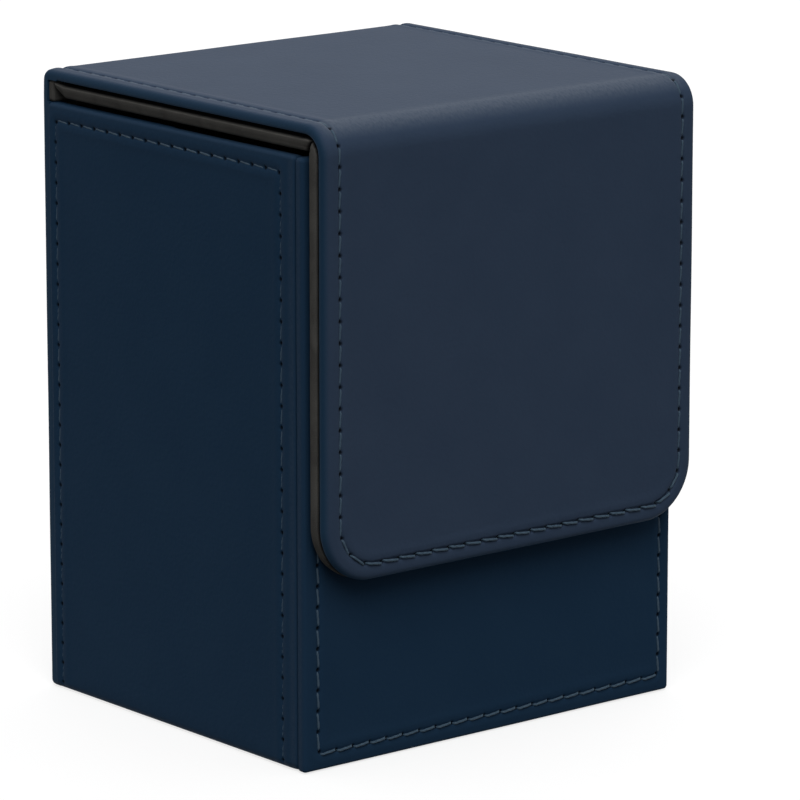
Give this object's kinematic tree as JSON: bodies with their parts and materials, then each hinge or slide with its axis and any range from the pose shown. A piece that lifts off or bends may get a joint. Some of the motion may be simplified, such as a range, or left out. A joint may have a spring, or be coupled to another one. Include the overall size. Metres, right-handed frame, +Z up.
{
  "type": "card storage box",
  "caption": "Upright flip-top box for a deck of sleeved playing cards, leather over board, with an L-shaped lid hinged at the top rear edge and a magnetic front flap.",
  "frame": {"origin": "on the surface the box stands on, under the middle of the whole shut box", "axes": "+X to the right seen from the front, +Y to the back, where the lid hinges, +Z up"},
  "size_m": [0.0784, 0.0738, 0.105],
  "materials": {
    "navy_leather": "fine-grained coated leather, satin",
    "black_microfibre": "matt short-nap microfibre",
    "grey_board": "pressed grey board, bare",
    "foam": "soft sheet foam",
    "thread": "twisted polyester thread",
    "plated_magnet": "nickel-plated disc magnet"
  },
  "bodies": {
    "case": {"front_cover": "navy_leather", "front_board": "grey_board", "front_stitching": "thread", "case_magnet_left": "plated_magnet", "case_magnet_right": "plated_magnet", "back_cover": "navy_leather", "back_board": "grey_board", "back_stitching": "thread", "side_wrap": "navy_leather", "left_board": "grey_board", "right_board": "grey_board", "base_board": "grey_board", "left_stitching": "thread", "right_stitching": "thread", "front_lining": "black_microfibre", "back_lining": "black_microfibre", "left_lining": "black_microfibre", "right_lining": "black_microfibre", "base_lining": "black_microfibre", "fold_leather": "navy_leather", "fold_lining": "black_microfibre"},
    "lid": {"lid_cover": "navy_leather", "lid_former": "grey_board", "lid_lining": "black_microfibre", "top_foam": "foam", "flap_foam": "foam", "lid_stitching": "thread", "flap_magnet_left": "plated_magnet", "flap_magnet_right": "plated_magnet"}
  },
  "joints": [
    {"name": "lid_fold", "type": "hinge", "parent": "case", "child": "lid", "pos_m": [0, 0.03695, 0.105], "axis": [-1, 0, 0], "range_deg": [0, 260], "deforming": ["fold_leather", "fold_lining"]}
  ]
}
